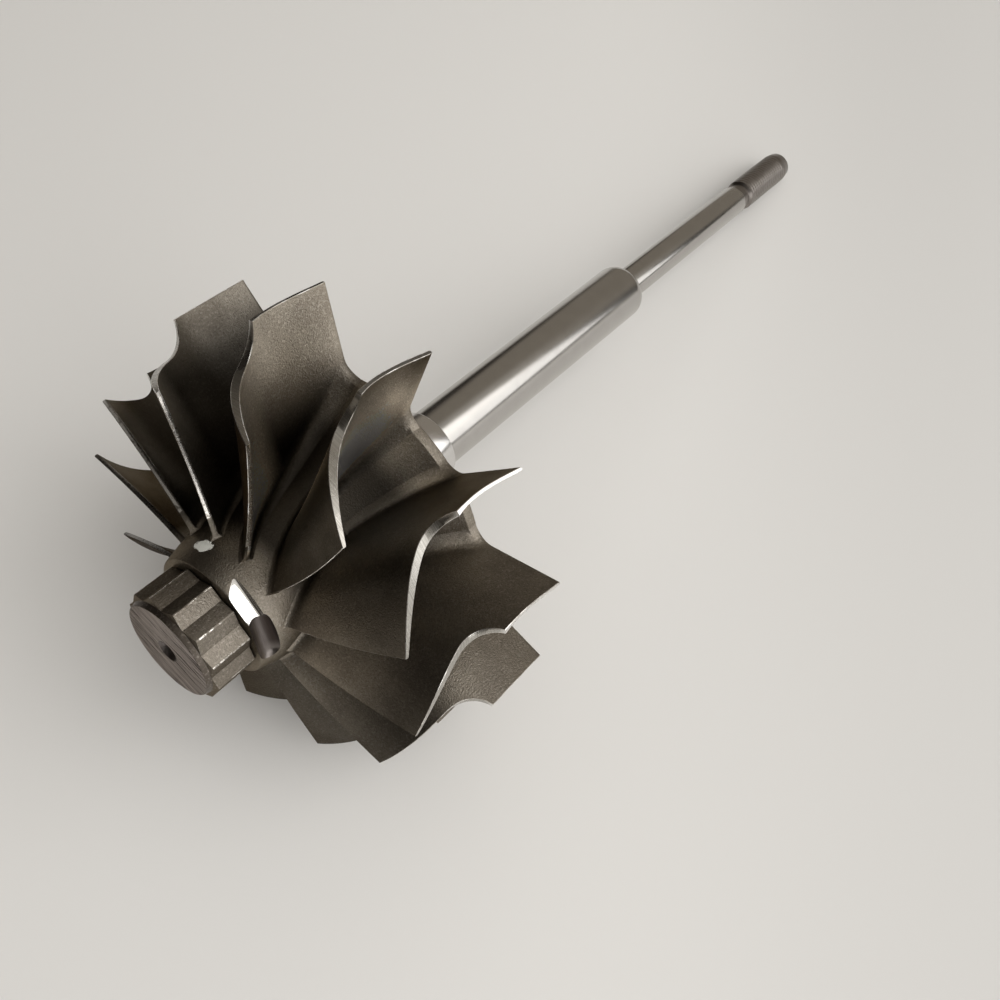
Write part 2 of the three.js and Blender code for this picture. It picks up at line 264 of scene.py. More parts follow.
def pick_corners(piece, wanted):
    """Selects the corners whose place passes a test, in edit mode."""
    mesh = bmesh.from_edit_mesh(piece.data)
    for corner in mesh.verts:
        corner.select_set(bool(wanted(corner.co)))
    mesh.select_flush_mode()
    bmesh.update_edit_mesh(piece.data)


def pick_edges(piece, wanted):
    """Selects the edges whose two ends pass a test, in edit mode."""
    mesh = bmesh.from_edit_mesh(piece.data)
    for edge in mesh.edges:
        edge.select_set(bool(wanted(edge.verts[0].co, edge.verts[1].co)))
    bmesh.update_edit_mesh(piece.data)


def give_finish(piece, finishes, choose=None):
    """Puts finishes on a piece; choose gives each face the number of its finish."""
    piece.data.materials.clear()
    for finish in finishes:
        piece.data.materials.append(finish)
    if choose:
        for face in piece.data.polygons:
            face.material_index = choose(face)


def smooth(piece, degrees=35):
    """Shades a piece smooth, but for edges that are sharper than the angle."""
    only(piece)
    bpy.ops.object.shade_smooth_by_angle(angle=math.radians(degrees))


def cut(piece, cutter, operation="DIFFERENCE"):
    """Takes a cutter out of a piece, or keeps only what both share, and leaves its finish there."""
    only(piece)
    boolean = piece.modifiers.new("cut", "BOOLEAN")
    boolean.operation = operation
    boolean.solver = "EXACT"
    boolean.object = cutter
    boolean.material_mode = "TRANSFER"
    bpy.ops.object.modifier_apply(modifier=boolean.name)
    bpy.data.objects.remove(cutter)


def set_down(piece, place, turn):
    """Turns and moves a piece, and keeps its new place in its mesh."""
    only(piece)
    piece.location = place
    piece.rotation_euler = turn
    bpy.ops.object.transform_apply(location=True, rotation=True, scale=True)


def lay_down(piece, *nodes, slot):
    """Turns a finished piece from the rotor's upright millimetres into its place in the frame."""
    piece.scale = (MILLIMETRE, MILLIMETRE, MILLIMETRE)
    set_down(piece, NOSE_PLACE, (0, AXIS_TURN, 0))
    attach(piece, "root")
    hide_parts(*nodes)


def rounded(outline, steps=4):
    """An outline of (radius, z, round) points with each corner turned into an arc of that size."""
    points = []
    for i, (radius, z, size) in enumerate(outline):
        corner = Vector((radius, z))
        if size == 0 or i in (0, len(outline) - 1):
            points.append(corner)
            continue
        before = (Vector(outline[i - 1][:2]) - corner).normalized()
        after = (Vector(outline[i + 1][:2]) - corner).normalized()
        half = before.angle(after) / 2
        reach = size / math.tan(half)
        middle = corner + (before + after).normalized() * size / math.sin(half)
        start = corner + before * reach - middle
        sweep = start.angle_signed(corner + after * reach - middle)
        for k in range(steps + 1):
            turn = -sweep * k / steps
            points.append(middle + Matrix.Rotation(turn, 2) @ start)
    return points


def turned(name, outline, steps=144, round_steps=4):
    """A solid turned about the rotor's axis: an outline drawn point by point, then spun."""
    deselect_all()
    bpy.ops.mesh.primitive_plane_add(size=1, location=(0, 0, 0))
    piece = started(name)
    edit(piece)
    bpy.ops.mesh.select_all(action="SELECT")
    bpy.ops.mesh.merge(type="CENTER")
    points = rounded(outline, round_steps)
    last = points[0]
    bpy.ops.transform.translate(value=(last.x, 0, last.y))
    for point in points[1:]:
        step = (point.x - last.x, 0, point.y - last.y)
        bpy.ops.mesh.extrude_region_move(TRANSFORM_OT_translate={"value": step})
        last = point
    bpy.ops.mesh.select_all(action="SELECT")
    bpy.ops.mesh.spin(steps=steps, angle=math.tau, center=(0, 0, 0), axis=(0, 0, 1))
    close_seams()
    return piece


def close_seams():
    """Merges corners that meet, turns all faces outwards and leaves edit mode."""
    bpy.ops.mesh.select_all(action="SELECT")
    bpy.ops.mesh.remove_doubles(threshold=SEAM_WIDTH)
    bpy.ops.mesh.normals_make_consistent(inside=False)
    bpy.ops.object.mode_set(mode="OBJECT")


# Node trees and finishes

class Term:
    """A socket that takes part in sums written as Python expressions."""

    def __init__(self, nodes, socket):
        self.nodes = nodes
        self.socket = socket

    def __add__(self, other):
        return self.nodes.sum("ADD", self, other)

    def __sub__(self, other):
        return self.nodes.sum("SUBTRACT", self, other)

    def __rsub__(self, other):
        return self.nodes.sum("SUBTRACT", other, self)

    def __mul__(self, other):
        return self.nodes.sum("MULTIPLY", self, other)

    def __truediv__(self, other):
        return self.nodes.sum("DIVIDE", self, other)

    __radd__ = __add__
    __rmul__ = __mul__


class Nodes:
    """A node tree that is built from nothing, one node at a time."""

    def __init__(self, tree):
        self.tree = tree
        self.tree.nodes.clear()

    def node(self, kind, settings=None, sockets=None):
        """Adds a node, sets it up, feeds its sockets and gives its outputs by name."""
        node = self.tree.nodes.new(kind)
        for name, value in (settings or {}).items():
            setattr(node, name, value)
        for name, value in (sockets or {}).items():
            self.feed(node.inputs[name], value)
        return {socket.name: Term(self, socket) for socket in node.outputs if socket.enabled}

    def feed(self, socket, value):
        """Links a term to a socket, or sets the socket to a constant."""
        if isinstance(value, Term):
            self.tree.links.new(value.socket, socket)
        elif socket.type == "RGBA":
            socket.default_value = (*value, 1)
        else:
            socket.default_value = value

    def sum(self, operation, first, second=0.0):
        sockets = {0: first, 1: second}
        return self.node("ShaderNodeMath", {"operation": operation}, sockets)["Value"]

    def vector(self, operation, first, second):
        """The one number that a vector operation gives, such as a distance or a dot product."""
        sockets = {0: first, 1: second}
        return self.node("ShaderNodeVectorMath", {"operation": operation}, sockets)["Value"]

    def fade(self, value, low, high, start=0.0, end=1.0):
        """A smooth rise from start to end as the value goes from low to high."""
        settings = {"interpolation_type": "SMOOTHSTEP"}
        sockets = {"Value": value, "From Min": low, "From Max": high}
        sockets.update({"To Min": start, "To Max": end})
        return self.node("ShaderNodeMapRange", settings, sockets)["Result"]

    def toned(self, colour, tone):
        """A colour made darker or lighter."""
        settings = {"data_type": "RGBA", "blend_type": "MULTIPLY"}
        return self.node("ShaderNodeMix", settings, {0: 1.0, 6: colour, 7: tone})["Result"]

    def blend(self, share, first, second):
        """A colour between two others."""
        sockets = {0: share, 6: first, 7: second}
        return self.node("ShaderNodeMix", {"data_type": "RGBA"}, sockets)["Result"]


class Finish(Nodes):
    """A metal's finish, built from nodes that read the rotor's own upright millimetres."""

    def __init__(self, name):
        self.material = bpy.data.materials.new(name)
        self.material.use_nodes = True
        super().__init__(self.material.node_tree)
        place = self.node("ShaderNodeTexCoord")["Object"]
        self.place = self.seen_from(place, NOSE_PLACE, (0, AXIS_TURN, 0), (MILLIMETRE,) * 3)

    def seen_from(self, vector, place, turn, size):
        """The vector as read in axes that stand at a place, turned and sized."""
        sockets = {"Vector": vector, "Location": place, "Rotation": turn, "Scale": size}
        return self.node("ShaderNodeMapping", {"vector_type": "TEXTURE"}, sockets)["Vector"]

    def stretched(self, size, turn=(0, 0, 0)):
        """The rotor's millimetres in turned axes, with one grain of noise as large as the size."""
        return self.seen_from(self.place, (0, 0, 0), turn, size)

    def parts(self):
        """The place along the rotor's three own axes."""
        split = self.node("ShaderNodeSeparateXYZ", None, {"Vector": self.place})
        return split["X"], split["Y"], split["Z"]

    def height(self):
        """The distance along the rotor's axis from the nose face."""
        return self.parts()[2]

    def reach(self):
        """The distance from the rotor's axis."""
        x, y = self.parts()[:2]
        return self.sum("SQRT", x * x + y * y)

    def along(self, value):
        """A place on one line, so that a noise read there makes stripes across it."""
        return self.node("ShaderNodeCombineXYZ", None, {"X": value})["Vector"]

    def noise(self, scale, detail=2.0, roughness=0.5, at=None):
        sockets = {"Vector": at or self.place, "Scale": scale}
        sockets.update({"Detail": detail, "Roughness": roughness})
        return self.node("ShaderNodeTexNoise", None, sockets)["Fac"]

    def bumped(self, height, depth, strength):
        """A normal roughened by a height; the depth is in millimetres."""
        sockets = {"Height": height, "Distance": depth * MILLIMETRE, "Strength": strength}
        return self.node("ShaderNodeBump", None, sockets)["Normal"]

    def metal(self, colour, roughness, normal, metallic=1.0, glance=(1.0, 1.0, 1.0)):
        """The finished material; glance tints what it mirrors at a low angle."""
        sockets = {"Base Color": colour, "Roughness": roughness, "Normal": normal}
        sockets.update({"Metallic": metallic, "Specular Tint": glance})
        shader = self.node("ShaderNodeBsdfPrincipled", None, sockets)["BSDF"]
        self.node("ShaderNodeOutputMaterial", None, {"Surface": shader})
        return self.material


# Colours of the finishes; where there are two, the finish goes from one to the other

CAST_BROWNS = (0.26, 0.231, 0.193), (0.33, 0.297, 0.25)
DRIVE_BROWN = (0.24, 0.213, 0.18)
GRAIN_SHADE = (0.10, 0.085, 0.07)
SPECKLE = (0.54, 0.50, 0.44)
# Painted shade for the passages between the blades, darkest right on the hub
PASSAGE_SHADE = (0.022, 0.019, 0.016)
WHITE_PAINT = (0.62, 0.62, 0.57)
CAST_GLANCE = (0.3, 0.27, 0.24)
LAND_STEELS = (0.34, 0.325, 0.295), (0.52, 0.50, 0.465)
LAND_POLISH = (0.80, 0.785, 0.76)
TRAILING_STEELS = (0.30, 0.275, 0.24), (0.66, 0.635, 0.60)
RUBBED_STEELS = (0.42, 0.39, 0.35), (0.85, 0.82, 0.78)
WORN_STEELS = (0.30, 0.27, 0.23), (0.85, 0.82, 0.77)
LIP_BROWNS = (0.14, 0.12, 0.102), (0.31, 0.275, 0.24)
FACE_STEELS = (0.40, 0.367, 0.347), (0.56, 0.52, 0.495)
FACE_SCRATCH = (0.03, 0.026, 0.023)
FACE_GLANCE = (0.3, 0.27, 0.25)
MILLED_STEELS = (0.84, 0.83, 0.81), (0.92, 0.91, 0.89)
GROOVE_BROWNS = (0.14, 0.123, 0.117), (0.20, 0.18, 0.172)
# Painted shade on the groove's wheel side, painted light towards one end and a painted shade line near
# the other end
GROOVE_BACK_SHADE = (0.05, 0.038, 0.034)
GROOVE_END_LIGHT = (0.21, 0.19, 0.178)
GROOVE_RIM_SHADE = (0.02, 0.017, 0.015)
GROUND_STEELS = (0.48, 0.465, 0.445), (0.50, 0.485, 0.465)
SEAL_STEEL = (0.68, 0.665, 0.65)
THREAD_STEELS = (0.24, 0.218, 0.202), (0.28, 0.257, 0.24)

# Dab of white paint on the collar, in millimetres
DAB_ANGLE = math.radians(159)
DAB_PLACE = (13.1 * math.cos(DAB_ANGLE), 13.1 * math.sin(DAB_ANGLE), 13.3)
DAB_TURN = (math.radians(12), 0, DAB_ANGLE)
DAB_STRETCH = (1.0, 1.25, 0.75)
DAB_REACH = 2.43
DAB_EDGE = 0.14
DAB_RAGGEDNESS = 1.9


def hub_reach(z):
    """Radius of the hub's gas face as a term, by the same rule as hub_radius."""
    along = (z - HUB_START_Z) / (DISC_FRONT_Z - HUB_START_Z)
    rise = along * (along * along * HUB_LATE_RISE + HUB_EVEN_RISE)
    return rise * (DISC_RADIUS - HUB_START_RADIUS) + HUB_START_RADIUS


def cast_alloy(name, nose=(1.0, 1.0), disc=(1.0, 1.0), disc_reach=(24.0, 46.0), seam=(23.0, 30.0),
               root=1.0, rim=1.0):
    """Sand-blasted casting, browned by heat, with one dab of white paint at the nose.

    The tones paint light and shade: they make a blade darker or lighter as its place in the light
    needs. The nose and disc pairs are for low on the blade and at its outer edge, on either side of
    the seam. The root is the fillet, and the rim is the strip along the blade's back edge. Painted
    shade darkens the passages next to the hub."""
    finish = Finish(name)
    z = finish.height()
    reach = finish.reach()
    off_hub = reach - hub_reach(z)
    grain = finish.noise(3.6, 2.0, 0.6)
    speckle = finish.noise(2.1, 3.0, 0.7)
    clouds = finish.noise(0.12, 2.0, 0.5)
    colour = finish.blend(finish.fade(clouds, 0.35, 0.65), *CAST_BROWNS)
    on_drive = finish.fade(z, DRIVE_LENGTH - 0.25, DRIVE_LENGTH + 0.35, 0.7, 0.0)
    colour = finish.blend(on_drive, colour, DRIVE_BROWN)
    colour = finish.blend(finish.fade(grain, 0.3, 0.5, 0.45, 0.0), colour, GRAIN_SHADE)
    colour = finish.blend(finish.fade(speckle, 0.52, 0.64, 0.0, 0.38), colour, SPECKLE)
    # Painted light and shade: the tones make a blade lighter or darker, going from the nose pair to the
    # disc pair across the seam, with the root tone at the fillet
    by_disc = finish.fade(z, *seam)
    nose_tone = finish.fade(reach, 14.0, 38.0, *nose)
    disc_tone = finish.fade(reach, *disc_reach, *disc) * finish.fade(z, 42.0, 48.0, 1.0, rim)
    tone = nose_tone * (1.0 - by_disc) + disc_tone * by_disc - root
    colour = finish.toned(colour, tone * finish.fade(off_hub, 0.5, 4.0) + root)
    # Painted shade in the passages between the blades: darkest on the hub, gone a few millimetres out
    # from it
    passage_shade = finish.fade(off_hub, 0.3, 3.0, 0.9, 0.0) * finish.fade(z, 15.5, 21.0)
    passage_shade = passage_shade * finish.fade(z, 40.0, 47.0, 1.0, 0.0)
    colour = finish.blend(passage_shade, colour, PASSAGE_SHADE)
    from_dab = finish.seen_from(finish.place, DAB_PLACE, DAB_TURN, DAB_STRETCH)
    away = finish.vector("DISTANCE", from_dab, (0, 0, 0))
    away = away + finish.noise(1.5, 3.0, 0.7) * DAB_RAGGEDNESS
    painted = finish.fade(away, DAB_REACH, DAB_REACH + DAB_EDGE, 1.0, 0.0)
    colour = finish.blend(painted, colour, WHITE_PAINT)
    rough = finish.fade(clouds, 0.3, 0.7, 0.38, 0.31) + speckle * 0.06
    normal = finish.bumped(grain + speckle * 0.6 + painted * 0.6, depth=0.09, strength=0.9)
    return finish.metal(colour, rough, normal, 1.0 - painted, CAST_GLANCE)


def turned_land(name, tone=1.0, corner_tone=1.0):
    """Outer edges of the blades, turned to size: bright, with fine scratches across them."""
    finish = Finish(name)
    z = finish.height()
    reach = finish.reach()
    lines = finish.noise(3.2, 3.0, 0.75, finish.along(z + reach * 1.3))
    patches = finish.noise(0.35, 2.0, 0.6)
    polish = finish.fade(reach, 44.0, WHEEL_RADIUS - 0.1)
    scored = finish.blend(finish.fade(lines, 0.36, 0.6), *LAND_STEELS)
    colour = finish.blend(polish, scored, LAND_POLISH)
    # Painted light and shade: tone for the land, corner_tone for its outer corner
    colour = finish.toned(colour, finish.fade(reach, 43.8, 44.4, tone, corner_tone))
    rough = finish.fade(patches, 0.35, 0.65, 0.22, 0.32)
    normal = finish.bumped(lines * (1.0 - polish * 0.8), depth=0.04, strength=0.6)
    return finish.metal(colour, rough, normal)


def trailing_flat(name, tone=1.0):
    """Squared trailing edges: smoother than the faces, with ragged worn patches."""
    finish = Finish(name)
    haze = finish.noise(0.9, 4.0, 0.65)
    colour = finish.blend(finish.fade(haze, 0.34, 0.46), *TRAILING_STEELS)
    # Painted light and shade: a tone above one paints light, below one paints shade
    colour = finish.toned(colour, (tone, tone, tone))
    normal = finish.bumped(haze, depth=0.04, strength=0.6)
    return finish.metal(colour, finish.fade(haze, 0.3, 0.6, 0.4, 0.24), normal)


def rubbed_line(name, tone=1.0):
    """Narrow corners of the blades, rubbed bright in places."""
    finish = Finish(name)
    ragged = finish.noise(0.3, 4.0, 0.55)
    colour = finish.blend(finish.fade(ragged, 0.42, 0.56), *RUBBED_STEELS)
    # Painted light and shade: a tone above one paints light, below one paints shade
    colour = finish.toned(colour, (tone, tone, tone))
    normal = finish.bumped(ragged, depth=0.03, strength=0.5)
    return finish.metal(colour, finish.fade(ragged, 0.4, 0.6, 0.4, 0.25), normal)


def worn_corner():
    """Corners of the nose drive: cast grain with bright rubbed bits."""
    finish = Finish("worn_corner")
    ragged = finish.noise(0.6, 5.0, 0.75)
    worn = finish.fade(ragged, 0.48, 0.56)
    colour = finish.blend(worn, *WORN_STEELS)
    normal = finish.bumped(ragged, depth=0.15, strength=0.9)
    return finish.metal(colour, finish.fade(worn, 0.0, 1.0, 0.5, 0.22), normal)


def lip_scale():
    """Lip round the nose face: dark scale with rubbed specks."""
    finish = Finish("lip_scale")
    specks = finish.noise(1.9, 4.0, 0.7)
    colour = finish.blend(finish.fade(specks, 0.5, 0.7), *LIP_BROWNS)
    normal = finish.bumped(specks, depth=0.03, strength=0.8)
    return finish.metal(colour, finish.fade(specks, 0.4, 0.7, 0.5, 0.36), normal)


# Which way the nose face was ground, and by how much its wide streaks stray from that
SCRATCH_TURN = math.radians(110)
STREAK_STRAY = 0.05
SCRATCH_GRAIN = (11.0, 0.36, 11.0)
STREAK_GRAIN = (22.0, 1.1, 22.0)


def ground_face():
    """Nose face, ground by hand: straight scratches, some of them deep and dark."""
    finish = Finish("ground_face")
    scratches = finish.stretched(SCRATCH_GRAIN, (0, 0, SCRATCH_TURN))
    streaks = finish.stretched(STREAK_GRAIN, (0, 0, SCRATCH_TURN + STREAK_STRAY))
    fine = finish.noise(1.0, 3.0, 0.7, scratches)
    wide = finish.noise(1.0, 2.0, 0.5, streaks)
    scored = finish.fade(fine, 0.39, 0.49, 1.0, 0.0)
    colour = finish.blend(finish.fade(wide, 0.35, 0.65), *FACE_STEELS)
    colour = finish.blend(scored, colour, FACE_SCRATCH)
    normal = finish.bumped(fine, depth=0.08, strength=0.7)
    rough = finish.fade(wide, 0.3, 0.7, 0.42, 0.34)
    return finish.metal(colour, rough, normal, 1.0, FACE_GLANCE)


def milled_flat():
    """The balance cut's flat: fresh bright steel with faint cutter marks."""
    finish = Finish("milled_flat")
    marks = finish.noise(1.0, 2.0, 0.5, finish.stretched((0.4, 0.4, 3.0)))
    colour = finish.blend(finish.fade(marks, 0.3, 0.7), *MILLED_STEELS)
    normal = finish.bumped(marks, depth=0.008, strength=0.5)
    return finish.metal(colour, finish.fade(marks, 0.3, 0.7, 0.10, 0.15), normal)


def groove_steel():
    """Inside of the round-nosed groove: smooth brownish steel with streaks along the cut, and painted
    shade and light across it.
    """
    finish = Finish("groove_steel")
    x, y, z = finish.parts()
    along = finish.stretched((0.5, 6.0, 0.5), (0, 0, GROOVE_DIRECTION))
    streaks = finish.noise(1.0, 2.0, 0.5, along)
    colour = finish.blend(finish.fade(streaks, 0.35, 0.65), *GROOVE_BROWNS)
    # Painted shade: darker towards the wheel side of the groove; then painted light towards one end and
    # a painted shade line near the other
    colour = finish.blend(finish.fade(z, 11.2, 12.9), colour, GROOVE_BACK_SHADE)
    low = y * math.cos(GROOVE_DIRECTION) - x * math.sin(GROOVE_DIRECTION)
    colour = finish.blend(finish.fade(low, 1.5, 4.5), colour, GROOVE_END_LIGHT)
    colour = finish.blend(finish.fade(low, -4.8, -4.2, 0.7, 0.0), colour, GROOVE_RIM_SHADE)
    normal = finish.bumped(streaks, depth=0.01, strength=0.5)
    return finish.metal(colour, finish.fade(streaks, 0.3, 0.7, 0.3, 0.38), normal)


def ground_steel():
    """Ground and polished shaft, with the grinding wheel's rings."""
    finish = Finish("ground_steel")
    z = finish.height()
    rings = finish.noise(9.0, 3.0, 0.7, finish.along(z))
    bands = finish.noise(0.12, 2.0, 0.5, finish.along(z))
    haze = finish.noise(0.3, 2.0, 0.5)
    ground = finish.blend(finish.fade(haze, 0.3, 0.7), *GROUND_STEELS)
    past_seal = finish.fade(z, JOURNAL_START_Z - 0.3, JOURNAL_START_Z)
    colour = finish.blend(past_seal, SEAL_STEEL, ground)
    rough = finish.fade(bands, 0.3, 0.7, 0.165, 0.185) + rings * 0.02
    normal = finish.bumped(rings, depth=0.005, strength=0.5)
    return finish.metal(colour, rough, normal)


def thread_steel():
    """Rolled thread: duller and greyer than the ground shaft."""
    finish = Finish("thread_steel")
    haze = finish.noise(0.5, 2.0, 0.5)
    colour = finish.blend(finish.fade(haze, 0.3, 0.7), *THREAD_STEELS)
    normal = finish.bumped(haze, depth=0.01, strength=0.5)
    return finish.metal(colour, finish.fade(haze, 0.3, 0.7, 0.28, 0.36), normal)


CAST = cast_alloy("cast_alloy")
# Shaded copies of the casting: painted shade over the whole blade
DEEP_SHADE_CAST = cast_alloy("deep_shade_cast", nose=(0.3, 0.3), disc=(0.3, 0.3))
HALF_SHADE_CAST = cast_alloy("half_shade_cast", nose=(0.4, 0.4), disc=(0.4, 0.4))
LAND = turned_land("turned_land")
# Lit and shaded copies of the edge finishes: painted light above a tone of one, painted shade below it
SHADED_LAND = turned_land("shaded_land", tone=0.7, corner_tone=0.7)
CORNER_SHADED_LAND = turned_land("corner_shaded_land", corner_tone=0.35)
TRAILING = trailing_flat("trailing_flat")
LIT_TRAILING = trailing_flat("lit_trailing", tone=1.4)
SHADED_TRAILING = trailing_flat("shaded_trailing", tone=0.35)
RUBBED = rubbed_line("rubbed_line")
LIT_RUBBED = rubbed_line("lit_rubbed", tone=1.3)
SHADED_RUBBED = rubbed_line("shaded_rubbed", tone=0.3)
WORN = worn_corner()
LIP = lip_scale()
FACE = ground_face()
MILLED = milled_flat()
GROOVE = groove_steel()
STEEL = ground_steel()
THREAD = thread_steel()

# Painted light and shade, blade by blade: each blade's tones make its casting darker or lighter as its
# place in the light needs; a blade not named here has CAST
BLADE_CASTS = {
    2: DEEP_SHADE_CAST,
    3: cast_alloy("cast_03", nose=(0.2, 0.6), disc=(0.3, 0.3)),
    4: cast_alloy("cast_04", nose=(0.25, 0.75), disc=(0.14, 0.4), seam=(19.0, 25.0)),
    5: cast_alloy("cast_05", nose=(0.8, 1.4), disc=(0.16, 0.7), disc_reach=(35.0, 46.0),
                  seam=(19.0, 26.0)),
    6: cast_alloy("cast_06", nose=(5.0, 2.0), disc=(0.08, 1.5), disc_reach=(20.5, 36.0),
                  seam=(25.0, 32.0), root=0.6),
    7: cast_alloy("cast_07", nose=(1.2, 0.5), disc=(6.0, 0.75), rim=0.5),
    8: cast_alloy("cast_08", nose=(1.9, 0.55), disc=(0.5, 0.75)),
    9: cast_alloy("cast_09", nose=(1.9, 0.38), disc=(0.9, 0.8)),
    10: cast_alloy("cast_10", nose=(1.25, 0.4), disc=(1.0, 0.9)),
    11: HALF_SHADE_CAST,
    12: HALF_SHADE_CAST,
}

# The far side of a blade, where it differs from the near one: painted shade on the far side of blade 6
FAR_CASTS = {6: DEEP_SHADE_CAST}

# Outer edge, trailing edge and narrow corners of the blades that differ from the rest: lit and shaded
# copies of the edge finishes, which paint light and shade
PLAIN_EDGES = (LAND, TRAILING, RUBBED)
BLADE_EDGES = {
    2: (SHADED_TRAILING, SHADED_TRAILING, DEEP_SHADE_CAST),
    3: (LAND, SHADED_TRAILING, SHADED_RUBBED),
    4: (LAND, SHADED_TRAILING, SHADED_RUBBED),
    5: (LAND, LIT_TRAILING, LIT_RUBBED),
    6: (SHADED_LAND, LIT_TRAILING, LIT_RUBBED),
    7: (CORNER_SHADED_LAND, TRAILING, RUBBED),
}


# Blades

# A blade's grid: columns along its length, rows from the hub to the outer edge
TRAILING_COLUMNS = 2
BAND_STEPS = 16
BAND_CROWDING = 1.3
BEND_STEPS = 12
INDUCER_STEPS = 12
FILLET_ROWS = 9
FACE_ROWS = 16


def blade_columns():
    """Shares of the blade's length for the columns behind the squared trailing edge."""
    crowded = [(k / BAND_STEPS) ** BAND_CROWDING for k in range(BAND_STEPS)]
    shares = [lerp(TRAILING_SHARE, BEND_SHARE, share) for share in crowded]
    shares += [lerp(BEND_SHARE, INDUCER_SHARE, k / BEND_STEPS) for k in range(BEND_STEPS)]
    shares += [lerp(INDUCER_SHARE, RIM_SHARE, k / INDUCER_STEPS) for k in range(INDUCER_STEPS)]
    return shares + [RIM_SHARE] + BACK_SHARES


COLUMNS = blade_columns()
LAST_COLUMN = TRAILING_COLUMNS + len(COLUMNS)
LAST_ROW = 1 + FILLET_ROWS + FACE_ROWS

# Numbers of a blade's finishes
NEAR_FACE, OUTER_EDGE, TRAILING_EDGE, NARROW_CORNER, FAR_FACE = range(5)


def blade_row(row, fillet, length):
    """Share of the way from hub to outer edge for a row of the blade's grid."""
    if row == 0:
        return -ROOT_SINK / length
    if row <= FILLET_ROWS:
        turn = math.pi / 2 * (row - 1) / (FILLET_ROWS - 1)
        return (fillet * (1 - math.cos(turn)) - FOOT_SINK) / length
    if row == LAST_ROW:
        return 1.0
    start = (fillet - FOOT_SINK) / length
    along = (row - FILLET_ROWS) / FACE_ROWS
    return lerp(start, 1 - LAND_BEVEL / length, along)


def blade_point(column, row, side):
    """Place of one corner of the blade's grid, in the rotor's upright millimetres."""
    in_front = column <= TRAILING_COLUMNS
    share = 0.0 if in_front else COLUMNS[column - TRAILING_COLUMNS - 1]
    inner_radius, inner_z = inner_edge(share)
    outer_radius, outer_z = outer_edge(share)
    length = math.hypot(outer_radius - inner_radius, outer_z - inner_z)
    fillet = lerp(FRONT_FILLET, BACK_FILLET, share ** FILLET_POWER)
    t = blade_row(row, fillet, length)
    radius = lerp(inner_radius, outer_radius, t)
    z = lerp(inner_z, outer_z, t)
    across = clamp(t)
    distance = t * length + FOOT_SINK
    spread = fillet_growth(fillet, distance)
    half = blade_half(share, across) + spread
    if row == LAST_ROW:
        half -= LAND_BEVEL
    if in_front:
        whole = half
        half = (0, half - TRAILING_BEVEL, half)[column]
        back = (0, 0, TRAILING_BEVEL)[column] - FILLET_LEAN * spread
        back += (whole + side * half) * math.tan(TRAILING_TILT)
        z += back / math.hypot(1, radius * blade_twist(z))
    if share > RIM_SHARE:
        web = clamp(1 - distance / BACK_FILLET) ** 2
        web *= (share - RIM_SHARE) / (1 - RIM_SHARE)
        z += web * (DISC_BACK_Z - WEB_STEP - BLADE_ROOT_BACK_Z)
    if share == 1.0:
        half -= BACK_BEVEL
    straight = Vector((0, 1, 0))
    square = Vector((0, 1, -radius * blade_twist(z))).normalized()
    way = straight.lerp(square, 1 - clamp(share / TRAILING_UPRIGHT_SHARE)).normalized()
    offset = way * (side * half / way.dot(square))
    angle = blade_angle(z) + offset.y / radius
    moved_z = z + offset.z
    radius += (1 - across) * (hub_radius(moved_z) - hub_radius(z))
    return Vector((radius * math.cos(angle), radius * math.sin(angle), moved_z))


# A blade starts as a thick flat plate, 2 across each way, that is gridded on its two wide sides
PLATE_SIZE = 2
PLATE_MIDDLE_Z = 0.5


def grid_place(place):
    """Column and row of a point on the flat plate that a blade is made from."""
    column = (place.x / PLATE_SIZE + 0.5) * LAST_COLUMN
    row = (place.y / PLATE_SIZE + 0.5) * LAST_ROW
    return column, row


def blade_finish(face):
    """Number of a face's finish, from its place on the flat plate."""
    column, row = grid_place(face.center)
    if row > LAST_ROW - 0.01:
        return OUTER_EDGE
    if row > LAST_ROW - 1:
        return NARROW_CORNER
    if column > TRAILING_COLUMNS or row < FILLET_ROWS + 2:
        return FAR_FACE if face.center.z < PLATE_MIDDLE_Z else NEAR_FACE
    return TRAILING_EDGE if column < 1 else NARROW_CORNER


def first_blade():
    """One blade, from a flat plate whose corners are then placed on the twisted surfaces."""
    deselect_all()
    bpy.ops.mesh.primitive_grid_add(
        x_subdivisions=LAST_COLUMN, y_subdivisions=LAST_ROW, size=PLATE_SIZE, location=(0, 0, 0))
    blade = started("blade")
    edit(blade)
    bpy.ops.mesh.select_all(action="SELECT")
    bpy.ops.mesh.extrude_region_move(TRANSFORM_OT_translate={"value": (0, 0, 2 * PLATE_MIDDLE_Z)})
    bpy.ops.object.mode_set(mode="OBJECT")
    give_finish(blade, [CAST, *PLAIN_EDGES, CAST], blade_finish)
    for corner in blade.data.vertices:
        column, row = grid_place(corner.co)
        side = 1 if corner.co.z > PLATE_MIDDLE_Z else -1
        corner.co = blade_point(round(column), round(row), side)
    edit(blade)
    close_seams()
    smooth(blade, 38)
    return blade


def make_blades():
    """The first blade copied round the hub, each copy with finishes of its own."""
    pattern = first_blade()
    for number in range(1, BLADE_COUNT + 1):
        blade = pattern.copy()
        blade.data = pattern.data.copy()
        near = BLADE_CASTS.get(number, CAST)
        far = FAR_CASTS.get(number, near)
        edges = BLADE_EDGES.get(number, PLAIN_EDGES)
        for slot, material in enumerate((near, *edges, far)):
            blade.data.materials[slot] = material
        blade.name = f"cast_blade_{number:02d}"
        blade.data.name = blade.name
        bpy.context.scene.collection.objects.link(blade)
        set_down(blade, (0, 0, 0), (0, 0, (number - 0.5) * STEP_ANGLE))
        lay_down(blade, f"blade_{number:02d}", slot="cast_alloy")
    bpy.data.objects.remove(pattern)


# Hub, disc and collar in one casting

GAS_FACE_STEPS = 26


